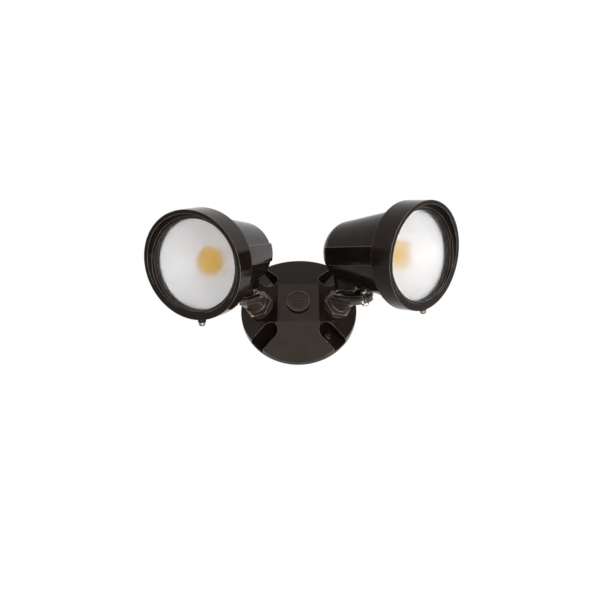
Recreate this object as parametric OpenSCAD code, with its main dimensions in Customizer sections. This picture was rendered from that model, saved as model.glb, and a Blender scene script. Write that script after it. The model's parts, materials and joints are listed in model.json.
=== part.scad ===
// Twin-head outdoor flood light on a round cover for a wall box.
// X runs along the wall to the right, -Y points away from the wall and Z is up.
// The origin is the centre of the wall face.

/* [Cover] */
// Outside diameter of the round cover
cover_d = 127; // [124:0.5:132]
// Thickness of the cover's rim
rim_t = 5; // [4:0.5:7]
// Height of the square top above the rim
hub_h = 19; // [18:0.5:20]
// Width of the square top
top_w = 45; // [43:0.5:46]
// Wall thickness of the casting
cover_wall = 3; // [2.5:0.25:3.5]
// Thickness of the wall gasket
wall_gasket_t = 2; // [1.5:0.25:3]
// Width of the diagonal channels
channel_w = 17.5; // [15:0.5:19]
// Distance from the centre to the rounded inner end of a channel
channel_start = 35; // [34:0.5:36.5]
// Spacing of opposite box screws
box_screw_span = 88.9; // [86:0.1:94]
// Distance of each threaded port from the centre, along the wall
port_x = 41.6; // [40:0.2:43]

/* [Arms] */
// Diameter of the threaded stem
stem_d = 21.3; // [20.5:0.1:21.8]
// Width of the lock nut across its flats
nut_flats = 28; // [27:0.5:29]
// Thickness of the lock nut
nut_t = 5.4; // [4.5:0.1:6]
// Diameter of the arm's round body
arm_d = 25; // [24:0.5:26]
// Distance from the port face to the elbow centre
arm_reach = 25.5; // [25:0.5:28]
// Angle between the stem and the flange's normal
elbow_angle = 56; // [52:1:58]
// Turn of the left arm about its stem
left_swivel = -25.4; // [-35:0.2:-15]
// Turn of the right arm about its stem
right_swivel = 32.4; // [20:0.2:40]

/* [Clamp flanges] */
// Length of the clamp flanges
flange_l = 47; // [45:0.5:50]
// Width of the clamp flanges
flange_w = 27; // [26:0.5:30]
// Radius of the clamp bolt circle
bolt_circle_r = 17; // [16.6:0.1:17.4]
// Angle that each curved bolt slot sweeps
slot_sweep = 56; // [30:1:60]
// Turn of the left head on its flange
left_turn = 10; // [-12:1:12]
// Turn of the right head on its flange
right_turn = 6; // [-12:1:12]

/* [Heads] */
// Outside diameter of the bezel
bezel_d = 107; // [100:0.5:115]
// Width of the lip that frames the lens, from the bezel's wall in
lip_w = 5.7; // [4.7:0.1:7]
// Distance from the flange centre forward to the lens face
lens_ahead = 98; // [96:0.5:104]
// Height of the head's axis above the flange
axis_h = 49; // [48:0.5:52]
// Length of the bezel ahead of the lens face
hood_l = 8; // [7:0.5:12]
// Slant of the bezel's front edge, longer at the top
hood_slant = 6.3; // [4:0.1:7]
// Length of the bezel behind the lens face
skirt_l = 15; // [14:0.5:17]
// Distance from the lens face to the housing's rear end
housing_l = 123; // [121:0.5:127]
// Step from the bezel's outside in to the housing's outside
housing_step = 7.1; // [6.6:0.1:8]
// Narrowing of the housing's radius from its collar to its rounded rear
housing_taper = 14; // [12:0.1:15]
// How far the rib along each side of the housing stands out
rib_proud = 1.8; // [1:0.1:2.5]

/* [Hidden] */

$fn = 96;
left = -1;
right = 1;
// Overshoot of a cutting tool past the face that it cuts
cut = 1;
// Radial clearance of a screw or a stem in its threaded hole
thread_gap = 0.07;
// Clearance between surfaces that turn against each other
joint_gap = 0.3;
// Clearance of a part that sits loosely in its seat
seat_gap = 0.3;

// Cover
cover_r = cover_d / 2;
rim_z = wall_gasket_t + rim_t;
top_z = rim_z + hub_h;
face_run = cover_r - top_w / 2;
face_tilt = atan2(hub_h, face_run);
rim_groove = 0.6;
channel_floor_z = wall_gasket_t + cover_wall;
box_screw_r = 2.08;
box_hole_r = 2.4;
box_shoulder_gap = 0.12;
box_shoulder_r = box_hole_r - box_shoulder_gap;
box_head_r = 4.2;
box_head_h = 2.6;
box_screw_l = 16;
port_z = top_z - (port_x - top_w / 2) * hub_h / face_run;
port_depth = 8;
port_boss_wall = 3.8;
washer_r = 15.5;
washer_t = 0.5;
gasket_screw_gap = 5.55;
gasket_inner_r = box_screw_span / 2 + gasket_screw_gap;
gasket_inset = 1;

// Plug in the square top
plug_r = 12.5;
plug_head_h = 2.6;
plug_thread_r = 10.6;
plug_thread_l = 9;
plug_seal_t = 0.8;
plug_groove_w = 1.1;
plug_dish_r = 9.6;
plug_dish_depth = 0.8;
plug_slot_w = 2.6;
plug_slot_l = 15;
plug_slot_depth = 1.6;

// Arm
stem_r = stem_d / 2;
thread_pitch = 1.814;
thread_depth = 1;
nut_z0 = washer_t + joint_gap;
nut_z1 = nut_z0 + nut_t;
nut_chamfer = 1.2;
shown_thread_l = 4.8;
body_z0 = nut_z1 + shown_thread_l;
body_chamfer = 1;
flange_shift = 11;
arm_flange_t = 4;
lead_bore_r = 3.5;
lead_bore_x = -5.4;

// Clamp between an arm and its head
seal_t = 1.2;
pad_z0 = joint_gap + seal_t;
pad_flange_t = 3.5;
pad_z1 = pad_z0 + pad_flange_t;
bolt_r = 2;
bolt_hole_r = 2.3;
bolt_slot_r = 2.6;
clamp_washer_t = 0.8;
clamp_washer_r = 4.2;
bolt_head_r = 3.6;
bolt_head_h = 3;
bolt_head_z = pad_z1 + joint_gap + clamp_washer_t;
inner_bolt_depth = 4;
outer_bolt_depth = 8.6;
clamp_nut_flats = 7;
clamp_nut_t = 3.2;
pad_bore_r = 5.5;
neck_r = 11.5;
bolt_room = 6;
block_z0 = pad_z1 + bolt_room;
block_z1 = 38;
block_l = 36;
block_w = 28;
block_x = -1;

// Head
bezel_r = bezel_d / 2;
bezel_wall = 4;
bezel_inner_r = bezel_r - bezel_wall;
bezel_chamfer = 0.8;
window_r = bezel_inner_r - lip_w;
lens_gasket_t = 1;
gasket_edge = 1;
gasket_proud = 0.7;
lip_t = 2;
step_t = 2;
step_w = 2;
lip_r = window_r + gasket_proud;
step_r = lip_r + step_w;
lens_t = 4;
lens_edge = 2;
lens_r = bezel_inner_r - lens_edge;
body_seal_t = 2;
ring_z1 = -lens_t - body_seal_t;
ring_r = bezel_inner_r - seat_gap;
housing_r = bezel_r - housing_step;
ring_wall = 4.2;
ring_depth = 0.5;
ring_inner_r = ring_r - ring_wall;
collar_inset = 2.5;
collar_r = bezel_r - collar_inset;
collar_lip = 1.2;
collar_t = 6;
collar_root = 1.5;
collar_z0 = -skirt_l - collar_t;
rear_r = housing_r - housing_taper;
rear_l = 31;
rear_z = -housing_l + rear_l;
rear_steps = 18;
rear_curve = 1.6;
rear_power = 0.76;
shell_wall = 3;
rib_w = 18;
rib_x = -21.5;
rib_tilt = 5.5;
rib_inner_y = 20;
rib_end_z = -96;
bezel_screw_r = 1.8;
bezel_screw_z = -10;
bezel_screw_angle = 4.4;
bezel_head_r = 3.3;
bezel_head_h = 3.6;
bezel_screw_in = 7;
screw_boss_base_r = 4.9;
screw_boss_top_r = 3.8;
screw_boss_h = 4.6;
screw_boss_sink = 1;

// Light engine, measured back from the lens face
spreader_z1 = -30.9;
spreader_t = 4;
spreader_z0 = spreader_z1 - spreader_t;
ledge_t = 2;
spreader_gap = 0.4;
spreader_r = hollow_r(spreader_z0 - ledge_t) - spreader_gap;
ledge_w = 6.5;
ledge_r = spreader_r - ledge_w;
spreader_screw_r = 1.5;
spreader_screw_inset = 3;
spreader_screw_circle = spreader_r - spreader_screw_inset;
small_head_r = 2.6;
small_head_h = 1.8;
board_w = 42;
board_t = 1.6;
board_z1 = spreader_z1 + board_t;
board_screw_inset = 3.8;
board_screw_offset = board_w / 2 - board_screw_inset;
emitter_r = 14.3;
emitter_t = 1.2;
cone_base_gap = 0.7;
cone_base_r = emitter_r + cone_base_gap;
cone_base_w = 2;
cone_neck_r = cone_base_r + cone_base_w;
cone_neck_h = 2.6;
cone_wall = 0.8;
cone_front_z = -7;
cone_gap = 0.7;
cone_front_r = ring_inner_r - cone_gap;
driver_w = 31;
driver_h = 26;
driver_l = 42;
driver_flange_w = 46;
driver_flange_h = 16;
driver_flange_t = 2;
driver_z1 = spreader_z0 - driver_flange_t;
driver_screw_inset = 3;
driver_screw_y = driver_flange_w / 2 - driver_screw_inset;
lead_r = 0.8;
lead_hole_r = 1.2;
lead_y = 3;
lead_inset = 1.6;
lead_x0 = driver_h / 2 - lead_inset;
lead_x1 = board_w / 2 - lead_inset;

bronze = [0.16, 0.13, 0.11];
steel = [0.72, 0.72, 0.7];
black_rubber = [0.08, 0.08, 0.08];
frosted = [0.86, 0.87, 0.88];

// Radius of the housing's hollow about the head's own axis, at a height behind the lens face
function hollow_r(z) = housing_r - housing_taper * (z + skirt_l) / (rear_z + skirt_l) - shell_wall;

function swivel_of(side) = side == left ? left_swivel : right_swivel;
function turn_of(side) = side == left ? left_turn : right_turn;

// Local z points away from the wall and local y points up
module on_wall() {
    rotate([90, 0, 0]) children();
}

// Local z leaves the port along its axis and local x points up
module port_frame(side) {
    translate([side * port_x, -port_z, 0]) rotate([0, -90, 90 + side * face_tilt]) children();
}

// The port frame, turned with the arm
module arm_frame(side) {
    port_frame(side) rotate([0, 0, swivel_of(side)]) children();
}

// Local z is the flange's normal and the origin is the clamp's centre
module flange_frame() {
    translate([0, 0, arm_reach]) rotate([0, elbow_angle, 0]) translate([-flange_shift, 0, 0]) children();
}

// Local x points forward along the head and local z is the flange's normal
module head_frame(side) {
    arm_frame(side) flange_frame() rotate([0, 0, 180 + turn_of(side)]) children();
}

// Local z points forward from the lens face and local x points to the head's underside
module lens_frame(side) {
    head_frame(side) translate([lens_ahead, 0, axis_h]) rotate([0, 90, 0]) children();
}

// A cylinder between two heights
module post(r, z0, z1) {
    translate([0, 0, z0]) cylinder(r = r, h = z1 - z0);
}

// A ring between two heights
module ring(r0, r1, z0, z1) {
    difference() {
        post(r1, z0, z1);
        post(r0, z0 - cut, z1 + cut);
    }
}

// A plate with two straight sides and two round ends
module rounded_plate(l, w, z0, z1) {
    translate([0, 0, z0]) linear_extrude(z1 - z0) {
        square([l - w, w], center = true);
        for (end = [-1, 1]) translate([end * (l - w) / 2, 0]) circle(d = w);
    }
}

// A round-headed screw with its head above z and its shank below
module headed_screw(shank_r, shank_l, head_r, head_h, slot_w) {
    difference() {
        union() {
            post(shank_r, -shank_l, cut / 2);
            rotate_extrude() polygon([[0, 0], [head_r, 0], [head_r, head_h * 0.5], [head_r * 0.7, head_h], [0, head_h]]);
        }
        translate([-head_r - cut, -slot_w / 2, head_h * 0.55]) cube([2 * (head_r + cut), slot_w, head_h]);
    }
}

// Cover

// One pair of the pyramid's sloping faces, with all sizes drawn in by one inset
module pyramid_profile(inset, base_z) {
    lift = inset / cos(face_tilt);
    outer_x = cover_r - inset;
    edge_z = rim_z - lift + inset * tan(face_tilt);
    flat_x = top_w / 2 - (lift - inset) / tan(face_tilt);
    rotate([90, 0, 0]) translate([0, 0, -cover_r]) linear_extrude(cover_d)
        polygon([[-outer_x, base_z], [outer_x, base_z], [outer_x, edge_z], [flat_x, top_z - inset],
            [-flat_x, top_z - inset], [-outer_x, edge_z]]);
}

module pyramid_solid(inset, base_z) {
    intersection() {
        pyramid_profile(inset, base_z);
        rotate([0, 0, 90]) pyramid_profile(inset, base_z);
        post(cover_r - inset, base_z, top_z);
    }
}

// A diagonal slot with a round inner end, open at the rim
module channel_shape(w, z0) {
    translate([0, 0, z0]) linear_extrude(top_z) {
        translate([channel_start + channel_w / 2, 0]) circle(d = w);
        translate([channel_start + channel_w / 2, -w / 2]) square([cover_r, w]);
    }
}

module at_corners(corners) {
    for (corner = corners) rotate([0, 0, 45 + 90 * corner]) children();
}

module at_box_screws() {
    at_corners([1, 3]) translate([box_screw_span / 2, 0]) children();
}

module in_port(side) {
    translate([side * port_x, 0, port_z]) rotate([0, side * face_tilt, 0]) children();
}

module cover_plate() {
    color(bronze) on_wall() difference() {
        union() {
            difference() {
                pyramid_solid(0, wall_gasket_t);
                pyramid_solid(cover_wall, wall_gasket_t - cut);
            }
            intersection() {
                pyramid_solid(0, wall_gasket_t);
                union() {
                    at_corners([0:3]) channel_shape(channel_w + 2 * cover_wall, wall_gasket_t);
                    for (side = [left, right])
                        in_port(side) post(stem_r + thread_gap + port_boss_wall, -port_depth, cover_wall);
                    post(plug_thread_r + thread_gap + port_boss_wall, top_z - plug_thread_l, top_z);
                }
            }
        }
        at_corners([0:3]) channel_shape(channel_w, channel_floor_z);
        at_box_screws() post(box_hole_r, -cut, channel_floor_z + cut);
        for (side = [left, right]) in_port(side) post(stem_r + thread_gap, -port_depth - 3 * cut, cut);
        post(plug_thread_r + thread_gap, top_z - plug_thread_l - cut, top_z + cut);
        ring(cover_r - rim_groove, cover_r + cut, wall_gasket_t + rim_t * 0.35, wall_gasket_t + rim_t * 0.5);
    }
}

module wall_gasket() {
    color(black_rubber) on_wall() ring(gasket_inner_r, cover_r - gasket_inset, 0, wall_gasket_t);
}

module hub_plug() {
    head_z0 = top_z + plug_seal_t;
    head_z1 = head_z0 + plug_head_h;
    color(bronze) on_wall() difference() {
        union() {
            post(plug_thread_r, top_z - plug_thread_l, head_z0 + cut);
            post(plug_r, head_z0, head_z1);
        }
        ring(plug_dish_r, plug_dish_r + plug_groove_w, head_z1 - plug_slot_depth, head_z1 + cut);
        post(plug_dish_r + cut / 2, head_z1 - plug_dish_depth, head_z1 + cut);
        translate([-plug_slot_l / 2, -plug_slot_w / 2, head_z1 - plug_dish_depth - plug_slot_depth / 2])
            cube([plug_slot_l, plug_slot_w, plug_head_h]);
    }
}

module plug_gasket() {
    color(black_rubber) on_wall() ring(plug_thread_r + seat_gap, plug_r - seat_gap, top_z, top_z + plug_seal_t);
}

module port_washers() {
    color(steel) for (side = [left, right]) port_frame(side) ring(stem_r + seat_gap, washer_r, 0, washer_t);
}

module cover_screws() {
    color(steel) on_wall() at_box_screws() translate([0, 0, channel_floor_z]) {
        headed_screw(box_shoulder_r, channel_floor_z, box_head_r, box_head_h, 1.2);
        post(box_screw_r, -box_screw_l, -channel_floor_z + cut);
    }
}

// Arm

module arm(side) {
    bore_end = arm_reach + 2 * arm_d;
    grooves = floor((body_z0 - nut_z1) / thread_pitch);
    color(bronze) arm_frame(side) difference() {
        union() {
            post(stem_r, -port_depth, body_z0 + cut);
            difference() {
                rotate_extrude() polygon([[0, body_z0], [arm_d / 2 - body_chamfer, body_z0],
                    [arm_d / 2, body_z0 + body_chamfer], [arm_d / 2, bore_end], [0, bore_end]]);
                flange_frame() post(2 * flange_l, 0, 2 * flange_l);
            }
            flange_frame() rounded_plate(flange_l, flange_w, -arm_flange_t, 0);
        }
        translate([lead_bore_x, 0, 0]) post(lead_bore_r, -port_depth - cut, bore_end);
        for (i = [0:grooves - 1]) translate([0, 0, nut_z1 + (i + 0.5) * thread_pitch])
            rotate_extrude() polygon([[stem_r - thread_depth, 0], [stem_r + cut, -thread_pitch * 0.45],
                [stem_r + cut, thread_pitch * 0.45]]);
        flange_frame() {
            translate([bolt_circle_r, 0, 0]) post(bolt_r + thread_gap, -inner_bolt_depth - thread_gap, cut);
            translate([-bolt_circle_r, 0, 0]) post(bolt_hole_r, -arm_flange_t - cut, cut);
        }
    }
}

module lock_nut(side) {
    corner_r = nut_flats / 2 / cos(30);
    color(bronze) arm_frame(side) difference() {
        intersection() {
            translate([0, 0, nut_z0]) cylinder(r = corner_r, h = nut_t, $fn = 6);
            rotate_extrude() polygon([[0, nut_z0], [corner_r - nut_chamfer, nut_z0], [corner_r, nut_z0 + nut_chamfer / 2],
                [corner_r, nut_z1 - nut_chamfer / 2], [corner_r - nut_chamfer, nut_z1], [0, nut_z1]]);
        }
        post(stem_r + thread_gap, nut_z0 - cut, nut_z1 + cut);
    }
}

module clamp_bolts(side) {
    color(steel) arm_frame(side) flange_frame() for (end = [[1, inner_bolt_depth], [-1, outer_bolt_depth]])
        translate([end[0] * bolt_circle_r, 0, bolt_head_z])
            headed_screw(bolt_r, bolt_head_z + end[1], bolt_head_r, bolt_head_h, 1);
}

module clamp_washers(side) {
    color(steel) arm_frame(side) flange_frame() for (end = [-1, 1])
        translate([end * bolt_circle_r, 0, 0])
            ring(bolt_r + thread_gap, clamp_washer_r, bolt_head_z - clamp_washer_t, bolt_head_z);
}

module clamp_nut(side) {
    color(steel) arm_frame(side) flange_frame() translate([-bolt_circle_r, 0, -arm_flange_t - clamp_nut_t])
        difference() {
            cylinder(r = clamp_nut_flats / 2 / cos(30), h = clamp_nut_t, $fn = 6);
            post(bolt_r + thread_gap, -cut, clamp_nut_t + cut);
        }
}

// Head

// Outline of the housing's body, drawn in by one inset
function rear_point(u, inset) = [
    (rear_r - inset) * pow(1 - pow(u, rear_curve), rear_power),
    rear_z - u * (rear_l - inset)
];

module shell_solid(inset) {
    rear_points = [for (i = [0:rear_steps]) rear_point(sin(90 * i / rear_steps), inset)];
    rotate_extrude() polygon(concat([[0, -skirt_l], [housing_r - inset, -skirt_l]], rear_points));
}

// Conical ring between the housing's body and the back edge of the bezel
module collar() {
    rotate_extrude() polygon([[0, -skirt_l], [collar_r, -skirt_l], [collar_r, -skirt_l - collar_lip],
        [housing_r - collar_root, collar_z0], [0, collar_z0]]);
}

// Raised ribs along both sides, which end square where the body rounds in
module side_ribs() {
    for (end = [0, 1]) mirror([0, end, 0]) intersection() {
        shell_solid(-rib_proud);
        translate([0, 0, -skirt_l]) rotate([0, -rib_tilt, 0])
            translate([rib_x, rib_inner_y, rib_end_z + skirt_l]) cube([rib_w, bezel_r, -rib_end_z]);
    }
}

// A hole for a radial screw at the underside
module underside_screw_place() {
    rotate([0, 0, bezel_screw_angle]) translate([bezel_r, 0, bezel_screw_z]) rotate([0, 90, 0]) children();
}

module curved_slot(z0, z1) {
    for (end = [0, 180]) rotate([0, 0, end]) {
        rotate([0, 0, -slot_sweep / 2]) rotate_extrude(angle = slot_sweep)
            translate([bolt_circle_r - bolt_slot_r, z0]) square([2 * bolt_slot_r, z1 - z0]);
        for (a = [-slot_sweep / 2, slot_sweep / 2]) rotate([0, 0, a])
            translate([bolt_circle_r, 0, 0]) post(bolt_slot_r, z0, z1);
    }
}

// Foot of the housing, in the head frame
module foot() {
    rounded_plate(flange_l, flange_w, pad_z0, pad_z1);
    post(neck_r, pad_z0, block_z0 + cut);
    translate([block_x, 0, 0]) rounded_plate(block_l, block_w, block_z0, block_z1);
}

module housing(side) {
    color(bronze) difference() {
        union() {
            difference() {
                union() {
                    lens_frame(side) {
                        shell_solid(0);
                        post(ring_r, -skirt_l - cut, ring_z1);
                        collar();
                        side_ribs();
                    }
                    head_frame(side) foot();
                }
                lens_frame(side) {
                    shell_solid(shell_wall);
                    post(ring_inner_r, -skirt_l - ring_depth, ring_z1 + cut);
                }
            }
            lens_frame(side) difference() {
                intersection() {
                    shell_solid(shell_wall / 2);
                    post(housing_r, spreader_z0 - ledge_t, spreader_z0);
                }
                post(ledge_r, spreader_z0 - ledge_t - cut, spreader_z0 + cut);
            }
        }
        lens_frame(side) {
            underside_screw_place() post(bezel_screw_r + thread_gap, -2 * bezel_screw_in, cut);
            spreader_screw_places() post(spreader_screw_r + thread_gap, -spreader_t - ledge_t - cut, 0);
        }
        head_frame(side) {
            post(pad_bore_r, 0, axis_h - rear_r / 2);
            curved_slot(pad_z0 - cut, pad_z1 + cut);
        }
    }
}

module flange_gasket(side) {
    color(black_rubber) head_frame(side) difference() {
        rounded_plate(flange_l, flange_w, joint_gap, pad_z0);
        post(pad_bore_r, 0, pad_z0 + cut);
        curved_slot(joint_gap - cut, pad_z0 + cut);
    }
}

module bezel(side) {
    hood_max = hood_l + bezel_d;
    color(bronze) lens_frame(side) difference() {
        union() {
            rotate_extrude() polygon([
                [bezel_inner_r, -skirt_l], [bezel_r - bezel_chamfer, -skirt_l], [bezel_r, -skirt_l + bezel_chamfer],
                [bezel_r, hood_max], [bezel_inner_r, hood_max], [bezel_inner_r, lens_gasket_t + lip_t + step_t],
                [step_r, lens_gasket_t + lip_t + step_t], [step_r, lens_gasket_t + lip_t],
                [lip_r, lens_gasket_t + lip_t], [lip_r, lens_gasket_t], [bezel_inner_r, lens_gasket_t]
            ]);
            underside_screw_place() translate([0, 0, -screw_boss_sink])
                cylinder(r1 = screw_boss_base_r, r2 = screw_boss_top_r, h = screw_boss_h + screw_boss_sink);
        }
        translate([0, 0, hood_l]) rotate([0, hood_slant, 0]) post(bezel_d, 0, 2 * bezel_d);
        underside_screw_place() post(bezel_screw_r + thread_gap, -bezel_wall - cut, screw_boss_h + cut);
    }
}

module bezel_screw(side) {
    color(steel) lens_frame(side) underside_screw_place() translate([0, 0, screw_boss_h])
        headed_screw(bezel_screw_r, bezel_screw_in + screw_boss_h, bezel_head_r, bezel_head_h, 1.4);
}

module lens(side) {
    color(frosted) lens_frame(side) post(lens_r, -lens_t, 0);
}

module lens_gasket(side) {
    color(black_rubber) lens_frame(side) ring(window_r, bezel_inner_r - gasket_edge, 0, lens_gasket_t);
}

module body_seal(side) {
    color(black_rubber) lens_frame(side) ring(ring_inner_r, lens_r, ring_z1, -lens_t);
}

module reflector(side) {
    color([0.9, 0.9, 0.9]) lens_frame(side) rotate_extrude() polygon([
        [cone_base_r, board_z1], [cone_neck_r + cone_wall, board_z1],
        [cone_neck_r + cone_wall, board_z1 + cone_neck_h], [cone_front_r, cone_front_z - cone_wall],
        [cone_front_r, cone_front_z], [cone_front_r - cone_wall, cone_front_z],
        [cone_neck_r, board_z1 + cone_neck_h + cone_wall], [cone_neck_r, board_z1 + cone_wall],
        [cone_base_r, board_z1 + cone_wall]
    ]);
}

module board_screw_places() {
    for (x = [-1, 1]) for (y = [-1, 1])
        translate([x * board_screw_offset, y * board_screw_offset, board_z1]) children();
}

module spreader_screw_places() {
    for (a = [60, 180, 300]) rotate([0, 0, a])
        translate([spreader_screw_circle, 0, spreader_z1]) children();
}

module driver_screw_places() {
    for (y = [-1, 1]) translate([0, y * driver_screw_y, driver_z1]) rotate([180, 0, 0]) children();
}

module lead_places() {
    for (y = [-lead_y, lead_y]) translate([-lead_x1, y, 0]) children();
}

module led_board(side) {
    color([0.92, 0.92, 0.9]) lens_frame(side) difference() {
        translate([-board_w / 2, -board_w / 2, spreader_z1]) cube([board_w, board_w, board_t]);
        board_screw_places() post(spreader_screw_r + thread_gap, -board_t - cut, cut);
        lead_places() post(lead_hole_r, spreader_z1 - cut, board_z1 + cut);
    }
}

module led_emitter(side) {
    color([0.95, 0.75, 0.15]) lens_frame(side) post(emitter_r, board_z1, board_z1 + emitter_t);
}

module heat_spreader(side) {
    color([0.75, 0.76, 0.78]) lens_frame(side) difference() {
        post(spreader_r, spreader_z0, spreader_z1);
        board_screw_places() post(spreader_screw_r + thread_gap, -board_t - spreader_t - cut, cut);
        spreader_screw_places() post(spreader_screw_r + thread_gap, -spreader_t - cut, cut);
        driver_screw_places() post(spreader_screw_r + thread_gap, -driver_flange_t - spreader_t + cut, cut);
        lead_places() post(lead_hole_r, spreader_z0 - cut, spreader_z1 + cut);
    }
}

module board_screws(side) {
    color(steel) lens_frame(side) board_screw_places()
        headed_screw(spreader_screw_r, board_t + spreader_t - cut, small_head_r, small_head_h, 0.8);
}

module spreader_screws(side) {
    color(steel) lens_frame(side) spreader_screw_places()
        headed_screw(spreader_screw_r, spreader_t + ledge_t, small_head_r, small_head_h, 0.8);
}

module driver(side) {
    color([0.2, 0.2, 0.22]) lens_frame(side) difference() {
        union() {
            translate([-driver_h / 2, -driver_w / 2, driver_z1 - driver_l]) cube([driver_h, driver_w, driver_l]);
            translate([-driver_flange_h / 2, -driver_flange_w / 2, driver_z1])
                cube([driver_flange_h, driver_flange_w, driver_flange_t]);
        }
        driver_screw_places() post(spreader_screw_r + thread_gap, -driver_flange_t - cut, cut);
    }
}

module driver_screws(side) {
    color(steel) lens_frame(side) driver_screw_places()
        headed_screw(spreader_screw_r, driver_flange_t + spreader_t - 2 * cut, small_head_r, small_head_h, 0.8);
}

// Two leads that step from the driver's end out to the board's edge
module led_leads(side) {
    mid_z = driver_z1 + driver_flange_t / 2;
    color([0.6, 0.1, 0.1]) lens_frame(side) for (y = [-lead_y, lead_y]) translate([0, y, 0]) {
        translate([-lead_x0, 0, 0]) post(lead_r, driver_z1, mid_z);
        translate([-lead_x0, 0, mid_z]) sphere(r = lead_r);
        translate([-lead_x1, 0, mid_z]) rotate([0, 90, 0]) cylinder(r = lead_r, h = lead_x1 - lead_x0);
        translate([-lead_x1, 0, mid_z]) sphere(r = lead_r);
        translate([-lead_x1, 0, 0]) post(lead_r, mid_z, board_z1 + lead_r);
    }
}

cover_plate();
wall_gasket();
hub_plug();
plug_gasket();
port_washers();
cover_screws();
arm(left);  // left_arm
lock_nut(left);  // left_lock_nut
clamp_bolts(left);  // left_clamp_bolts
clamp_washers(left);  // left_clamp_washers
clamp_nut(left);  // left_clamp_nut
housing(left);  // left_housing
flange_gasket(left);  // left_flange_gasket
bezel(left);  // left_bezel
bezel_screw(left);  // left_bezel_screw
lens(left);  // left_lens
lens_gasket(left);  // left_lens_gasket
body_seal(left);  // left_body_seal
reflector(left);  // left_reflector
led_board(left);  // left_led_board
led_emitter(left);  // left_led_emitter
heat_spreader(left);  // left_heat_spreader
board_screws(left);  // left_board_screws
spreader_screws(left);  // left_spreader_screws
driver(left);  // left_driver
driver_screws(left);  // left_driver_screws
led_leads(left);  // left_led_leads
arm(right);  // right_arm
lock_nut(right);  // right_lock_nut
clamp_bolts(right);  // right_clamp_bolts
clamp_washers(right);  // right_clamp_washers
clamp_nut(right);  // right_clamp_nut
housing(right);  // right_housing
flange_gasket(right);  // right_flange_gasket
bezel(right);  // right_bezel
bezel_screw(right);  // right_bezel_screw
lens(right);  // right_lens
lens_gasket(right);  // right_lens_gasket
body_seal(right);  // right_body_seal
reflector(right);  // right_reflector
led_board(right);  // right_led_board
led_emitter(right);  // right_led_emitter
heat_spreader(right);  // right_heat_spreader
board_screws(right);  // right_board_screws
spreader_screws(right);  // right_spreader_screws
driver(right);  // right_driver
driver_screws(right);  // right_driver_screws
led_leads(right);  // right_led_leads
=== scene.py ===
import json
import math

import bpy
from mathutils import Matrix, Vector

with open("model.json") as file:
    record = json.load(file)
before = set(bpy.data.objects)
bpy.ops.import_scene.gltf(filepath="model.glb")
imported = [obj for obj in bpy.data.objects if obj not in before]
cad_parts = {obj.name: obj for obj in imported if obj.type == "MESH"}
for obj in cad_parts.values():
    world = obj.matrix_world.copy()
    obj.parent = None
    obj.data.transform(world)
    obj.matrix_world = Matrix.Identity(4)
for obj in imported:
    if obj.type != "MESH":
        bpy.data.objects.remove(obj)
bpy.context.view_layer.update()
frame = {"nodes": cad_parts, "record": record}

MM = 0.001
WHITE = (1.0, 1.0, 1.0, 1.0)

# Camera, from the fit to the photograph
CAMERA_TARGET = Vector((1.3 * MM, 0.0, 16.8 * MM))
CAMERA_DISTANCE = 1.0
CAMERA_AZIMUTH = math.radians(1.2)
CAMERA_ELEVATION = math.radians(-28.6)
CAMERA_LENS_MM = 53.7
CAMERA_SENSOR_MM = 36.0
CAMERA_CLIP_START = 0.01

# Floor and world. "Seen" is for camera, glossy and transmission rays only.
FLOOR_REACH = 4.0
FLOOR_LEVEL = -1.1
FLOOR_COLOR = (0.82, 0.82, 0.82, 1.0)
FLOOR_ROUGHNESS = 0.9
FLOOR_SEEN_GLOW = 0.45
WORLD_LIGHT = 0.45
WORLD_SEEN = 1.0

# Lamps, all aimed at one point: place, width, height, power in watts
LAMP_AIM = Vector((0.0, -0.08, 0.0))
LAMPS = {
    "front_low": ((-0.1, -1.25, -0.5), 0.6, 0.4, 3.8),
    "front_high": ((0.0, -1.3, 0.65), 0.8, 0.4, 3.4),
    "front_right": ((0.8, -1.25, -0.55), 0.5, 0.5, 7.0),
    "right": ((1.3, -0.5, 0.1), 0.6, 0.9, 4.0),
    "left": ((-1.2, -1.0, 0.5), 0.6, 0.6, 1.5),
    "strip_right": ((1.05, -0.6, -0.4), 0.035, 0.7, 8.0),
    "strip_left": ((-1.1, -0.6, 0.1), 0.035, 0.5, 2.5),
    "strip_low": ((0.25, -0.75, -1.0), 0.7, 0.035, 5.0),
    "strip_top": ((0.2, -0.6, 1.1), 0.7, 0.035, 2.0),
}

# Noise that varies every finish: detail, and the noise values at which the
# two colours and the two roughnesses are reached
NOISE_ROUGHNESS = 0.5
LOOK_DETAIL = 3.0
BUMP_DETAIL = 2.0
COLOR_SPAN = (0.35, 0.65)
ROUGHNESS_SPAN = (0.3, 0.7)
ROUNDING_SAMPLES = 4

# Painted highlights: light lines painted on the sharp outer edges of the bronze paint.
# TURN is the cosine between the rounded and the true normal, OPEN the share of open air
# around the point, which keeps the lines off inner corners. Noise breaks the painted
# highlights up.
EDGE_HIGHLIGHT_COLOR = (0.20, 0.17, 0.145, 1.0)
EDGE_RADIUS = 0.0009
EDGE_SAMPLES = 8
EDGE_TURN_SPAN = (0.985, 0.86)
EDGE_OPEN_REACH = 0.003
EDGE_OPEN_SPAN = (0.7, 0.95)
EDGE_HIGHLIGHT_BREAKUP_SCALE = 90.0
EDGE_HIGHLIGHT_BREAKUP_SPAN = (0.35, 0.6)
EDGE_HIGHLIGHT_BREAKUP_LEAST = 0.45
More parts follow.
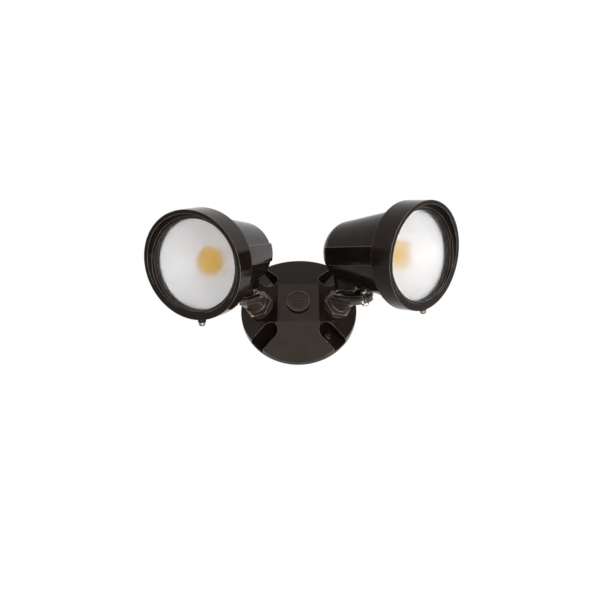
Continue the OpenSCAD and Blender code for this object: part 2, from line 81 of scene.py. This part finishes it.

# Finishes. colors, roughness: the two ends of the variation. scales: noise
# scales of colour, roughness and bump. bump: bump height. rounding: radius of
# the rounded edges in the shading. painted_edge_highlights: painted highlights, light
# lines on the edges.
BRONZE = {
    "colors": ((0.0055, 0.0037, 0.0028), (0.0085, 0.0056, 0.0042)),
    "roughness": (0.12, 0.17),
    "scales": (60.0, 140.0, 420.0),
    "bump": 0.00002,
    # painted highlights on the sharp outer edges
    "painted_edge_highlights": True,
}
BRONZE_SOCKETS = {"IOR": 1.5, "Specular Tint": (1.0, 0.85, 0.74, 1.0)}
FINISHES = {
    "bronze_paint": {
        **BRONZE,
        "rounding": 0.0009,
        "sockets": {**BRONZE_SOCKETS, "Specular IOR Level": 0.08},
    },
    # Painted light: a lighter copy of the bronze paint for the arms and lock nuts,
    # standing in for the light on the knuckles. It is also glossier.
    "glossy_bronze_painted_light": {
        **BRONZE,
        "colors": ((0.026, 0.0185, 0.0145), (0.036, 0.026, 0.0205)),
        "rounding": 0.0010,
        "sockets": {**BRONZE_SOCKETS, "Specular IOR Level": 0.7},
    },
    "bezel_bronze": {
        **BRONZE,
        "rounding": 0.0015,
        "sockets": {**BRONZE_SOCKETS, "Specular IOR Level": 0.14},
    },
    "black_rubber": {
        "colors": ((0.010, 0.010, 0.010), (0.018, 0.018, 0.018)),
        "roughness": (0.62, 0.78),
        "scales": (300.0, 300.0, 1500.0),
        "bump": 0.00004,
    },
    "zinc_steel": {
        "colors": ((0.17, 0.15, 0.135), (0.27, 0.25, 0.23)),
        "roughness": (0.22, 0.38),
        "scales": (500.0, 700.0, 2200.0),
        "bump": 0.00002,
        "rounding": 0.0003,
        "sockets": {"Metallic": 1.0},
    },
    "coated_screw": {
        "colors": ((0.012, 0.009, 0.007), (0.022, 0.016, 0.013)),
        "roughness": (0.20, 0.34),
        "scales": (500.0, 700.0, 2200.0),
        "bump": 0.00002,
        "rounding": 0.0003,
        "sockets": {"Metallic": 0.6},
    },
    "frosted_glass": {
        "colors": ((0.93, 0.935, 0.94), (0.96, 0.962, 0.965)),
        "roughness": (0.33, 0.36),
        "scales": (40.0, 200.0, 1800.0),
        "bump": 0.000002,
        "sockets": {"Transmission Weight": 1.0, "IOR": 1.45},
    },
    "spun_reflector": {
        "colors": ((0.78, 0.765, 0.76), (0.84, 0.825, 0.82)),
        "roughness": (0.48, 0.54),
        "scales": (90.0, 250.0, 900.0),
        "bump": 0.00003,
        "sockets": {"Metallic": 0.2},
    },
    "solder_mask": {
        "colors": ((0.84, 0.84, 0.82), (0.90, 0.90, 0.88)),
        "roughness": (0.35, 0.5),
        "scales": (200.0, 400.0, 1200.0),
        "bump": 0.00002,
    },
    "phosphor": {
        "colors": ((0.44, 0.235, 0.003), (0.56, 0.325, 0.006)),
        "roughness": (0.3, 0.45),
        "scales": (600.0, 500.0, 1400.0),
        "bump": 0.00003,
        "sockets": {
            "Specular IOR Level": 0.1,
            # Painted glow: the unlit phosphor is given a faint orange light of its own.
            "Emission Color": (1.0, 0.48, 0.0, 1.0),
            "Emission Strength": 0.18,
        },
    },
    "bare_aluminium": {
        "colors": ((0.66, 0.67, 0.69), (0.78, 0.79, 0.80)),
        "roughness": (0.28, 0.42),
        "scales": (350.0, 500.0, 1600.0),
        "bump": 0.00003,
        "rounding": 0.0003,
        "sockets": {"Metallic": 1.0},
    },
    "driver_plastic": {
        "colors": ((0.030, 0.030, 0.033), (0.045, 0.045, 0.048)),
        "roughness": (0.42, 0.56),
        "scales": (200.0, 400.0, 1800.0),
        "bump": 0.00005,
        "rounding": 0.0005,
    },
    "lead_insulation": {
        "colors": ((0.42, 0.025, 0.02), (0.52, 0.04, 0.03)),
        "roughness": (0.36, 0.46),
        "scales": (300.0, 400.0, 900.0),
        "bump": 0.00002,
    },
}

# Which finish each material slot of the record gets, and the nodes that
# differ from their slot
SLOT_FINISHES = {
    "bronze_paint": "bronze_paint",
    "plug_paint": "bronze_paint",
    "gasket": "black_rubber",
    "screw_steel": "zinc_steel",
    "screw_dark": "coated_screw",
    "frosted_glass": "frosted_glass",
    "reflector": "spun_reflector",
    "board": "solder_mask",
    "phosphor": "phosphor",
    "bare_aluminium": "bare_aluminium",
    "driver_case": "driver_plastic",
    "lead_insulation": "lead_insulation",
}
NODE_FINISHES = {
    # the arms and lock nuts get the lighter copy of the bronze paint, which is painted
    # light
    "left_arm": "glossy_bronze_painted_light",
    "right_arm": "glossy_bronze_painted_light",
    "left_lock_nut": "glossy_bronze_painted_light",
    "right_lock_nut": "glossy_bronze_painted_light",
    "left_bezel": "bezel_bronze",
    "right_bezel": "bezel_bronze",
}


def place_object(name, data):
    thing = bpy.data.objects.new(name, data)
    bpy.context.scene.collection.objects.link(thing)
    return thing


def add_camera():
    toward = Vector((
        math.sin(CAMERA_AZIMUTH) * math.cos(CAMERA_ELEVATION),
        -math.cos(CAMERA_AZIMUTH) * math.cos(CAMERA_ELEVATION),
        math.sin(CAMERA_ELEVATION),
    ))
    data = bpy.data.cameras.new("camera")
    data.lens = CAMERA_LENS_MM
    data.sensor_width = CAMERA_SENSOR_MM
    data.sensor_fit = "HORIZONTAL"
    data.clip_start = CAMERA_CLIP_START
    camera = place_object("camera", data)
    camera.location = CAMERA_TARGET + CAMERA_DISTANCE * toward
    camera.rotation_euler = (-toward).to_track_quat("-Z", "Y").to_euler()
    bpy.context.scene.camera = camera


# Small steps of the node trees. Each returns an output socket.

def object_noise(tree, scale, detail=LOOK_DETAIL):
    coords = tree.nodes.new("ShaderNodeTexCoord")
    noise = tree.nodes.new("ShaderNodeTexNoise")
    noise.inputs["Scale"].default_value = scale
    noise.inputs["Detail"].default_value = detail
    noise.inputs["Roughness"].default_value = NOISE_ROUGHNESS
    tree.links.new(coords.outputs["Object"], noise.inputs["Vector"])
    return noise.outputs["Fac"]


def map_range(tree, value, span, low=0.0, high=1.0):
    node = tree.nodes.new("ShaderNodeMapRange")
    node.inputs["From Min"].default_value = span[0]
    node.inputs["From Max"].default_value = span[1]
    node.inputs["To Min"].default_value = low
    node.inputs["To Max"].default_value = high
    tree.links.new(value, node.inputs["Value"])
    return node.outputs["Result"]


def combine(tree, operation, first, second):
    node = tree.nodes.new("ShaderNodeMath")
    node.operation = operation
    tree.links.new(first, node.inputs[0])
    tree.links.new(second, node.inputs[1])
    return node.outputs[0]


def rounded_normal(tree, radius, samples):
    bevel = tree.nodes.new("ShaderNodeBevel")
    bevel.samples = samples
    bevel.inputs["Radius"].default_value = radius
    return bevel.outputs["Normal"]


def seen_rays(tree):
    path = tree.nodes.new("ShaderNodeLightPath")
    direct = combine(tree, "MAXIMUM", path.outputs["Is Camera Ray"],
                     path.outputs["Is Glossy Ray"])
    return combine(tree, "MAXIMUM", direct, path.outputs["Is Transmission Ray"])


# Materials

def new_material(name):
    material = bpy.data.materials.new(name)
    material.use_nodes = True
    tree = material.node_tree
    tree.nodes.clear()
    output = tree.nodes.new("ShaderNodeOutputMaterial")
    shader = tree.nodes.new("ShaderNodeBsdfPrincipled")
    tree.links.new(shader.outputs["BSDF"], output.inputs["Surface"])
    return material, tree, shader


def varied_color(tree, colors, scale):
    ramp = tree.nodes.new("ShaderNodeValToRGB")
    for element, position, color in zip(ramp.color_ramp.elements, COLOR_SPAN, colors):
        element.position = position
        element.color = (*color, 1.0)
    tree.links.new(object_noise(tree, scale), ramp.inputs["Fac"])
    return ramp.outputs["Color"]


# Painted highlights: lightens the base colour along sharp outer edges, as light lines in
# place of lamp highlights.
def painted_edge_highlights(tree, color):
    geometry = tree.nodes.new("ShaderNodeNewGeometry")
    turned = tree.nodes.new("ShaderNodeVectorMath")
    turned.operation = "DOT_PRODUCT"
    tree.links.new(rounded_normal(tree, EDGE_RADIUS, EDGE_SAMPLES), turned.inputs[0])
    tree.links.new(geometry.outputs["Normal"], turned.inputs[1])
    sharp = map_range(tree, turned.outputs["Value"], EDGE_TURN_SPAN)
    air = tree.nodes.new("ShaderNodeAmbientOcclusion")
    air.samples = EDGE_SAMPLES
    air.inputs["Distance"].default_value = EDGE_OPEN_REACH
    outer = map_range(tree, air.outputs["AO"], EDGE_OPEN_SPAN)
    highlight_breakup = map_range(tree, object_noise(tree, EDGE_HIGHLIGHT_BREAKUP_SCALE), EDGE_HIGHLIGHT_BREAKUP_SPAN,
                     low=EDGE_HIGHLIGHT_BREAKUP_LEAST)
    sharp_outer = combine(tree, "MULTIPLY", sharp, outer)
    mix = tree.nodes.new("ShaderNodeMixRGB")
    tree.links.new(combine(tree, "MULTIPLY", sharp_outer, highlight_breakup), mix.inputs["Fac"])
    tree.links.new(color, mix.inputs["Color1"])
    mix.inputs["Color2"].default_value = EDGE_HIGHLIGHT_COLOR
    return mix.outputs["Color"]


def bumped_normal(tree, height, scale, rounding):
    bump = tree.nodes.new("ShaderNodeBump")
    bump.inputs["Strength"].default_value = 1.0
    bump.inputs["Distance"].default_value = height
    tree.links.new(object_noise(tree, scale, BUMP_DETAIL), bump.inputs["Height"])
    if rounding > 0:
        tree.links.new(rounded_normal(tree, rounding, ROUNDING_SAMPLES),
                       bump.inputs["Normal"])
    return bump.outputs["Normal"]


def make_finish(name):
    finish = FINISHES[name]
    color_scale, roughness_scale, bump_scale = finish["scales"]
    material, tree, shader = new_material(name)
    color = varied_color(tree, finish["colors"], color_scale)
    # painted highlights on the edges, for the finishes that have them
    if finish.get("painted_edge_highlights"):
        color = painted_edge_highlights(tree, color)
    tree.links.new(color, shader.inputs["Base Color"])
    roughness = map_range(tree, object_noise(tree, roughness_scale), ROUGHNESS_SPAN,
                          *finish["roughness"])
    tree.links.new(roughness, shader.inputs["Roughness"])
    normal = bumped_normal(tree, finish["bump"], bump_scale, finish.get("rounding", 0.0))
    tree.links.new(normal, shader.inputs["Normal"])
    for socket, value in finish.get("sockets", {}).items():
        shader.inputs[socket].default_value = value
    return material


def dress_nodes():
    made = {}
    for part in frame["record"]["subparts"]:
        node = part["node"]
        finish = NODE_FINISHES.get(node, SLOT_FINISHES[part["material_slot"]])
        if finish not in made:
            made[finish] = make_finish(finish)
        mesh = frame["nodes"][node].data
        mesh.materials.clear()
        mesh.materials.append(made[finish])


# Studio

def add_floor():
    material, tree, shader = new_material("floor_paint")
    shader.inputs["Base Color"].default_value = FLOOR_COLOR
    shader.inputs["Roughness"].default_value = FLOOR_ROUGHNESS
    shader.inputs["Emission Color"].default_value = WHITE
    glow = map_range(tree, seen_rays(tree), (0.0, 1.0), high=FLOOR_SEEN_GLOW)
    tree.links.new(glow, shader.inputs["Emission Strength"])
    corners = [(x * FLOOR_REACH, y * FLOOR_REACH, FLOOR_LEVEL)
               for x, y in ((-1, -1), (1, -1), (1, 1), (-1, 1))]
    mesh = bpy.data.meshes.new("floor")
    mesh.from_pydata(corners, [], [(0, 1, 2, 3)])
    mesh.materials.append(material)
    place_object("floor", mesh)


def light_world():
    world = bpy.data.worlds.new("studio")
    bpy.context.scene.world = world
    world.use_nodes = True
    tree = world.node_tree
    tree.nodes.clear()
    mix = tree.nodes.new("ShaderNodeMixShader")
    tree.links.new(seen_rays(tree), mix.inputs["Fac"])
    for place, strength in ((1, WORLD_LIGHT), (2, WORLD_SEEN)):
        background = tree.nodes.new("ShaderNodeBackground")
        background.inputs["Color"].default_value = WHITE
        background.inputs["Strength"].default_value = strength
        tree.links.new(background.outputs["Background"], mix.inputs[place])
    output = tree.nodes.new("ShaderNodeOutputWorld")
    tree.links.new(mix.outputs["Shader"], output.inputs["Surface"])


def add_lamps():
    for name, (place, width, height, power) in LAMPS.items():
        data = bpy.data.lights.new(name, "AREA")
        data.shape = "RECTANGLE"
        data.size = width
        data.size_y = height
        data.energy = power
        lamp = place_object(name, data)
        lamp.location = place
        aim = LAMP_AIM - Vector(place)
        lamp.rotation_euler = aim.to_track_quat("-Z", "Y").to_euler()


bpy.context.scene.view_settings.view_transform = "Standard"
add_camera()
dress_nodes()
add_floor()
light_world()
add_lamps()
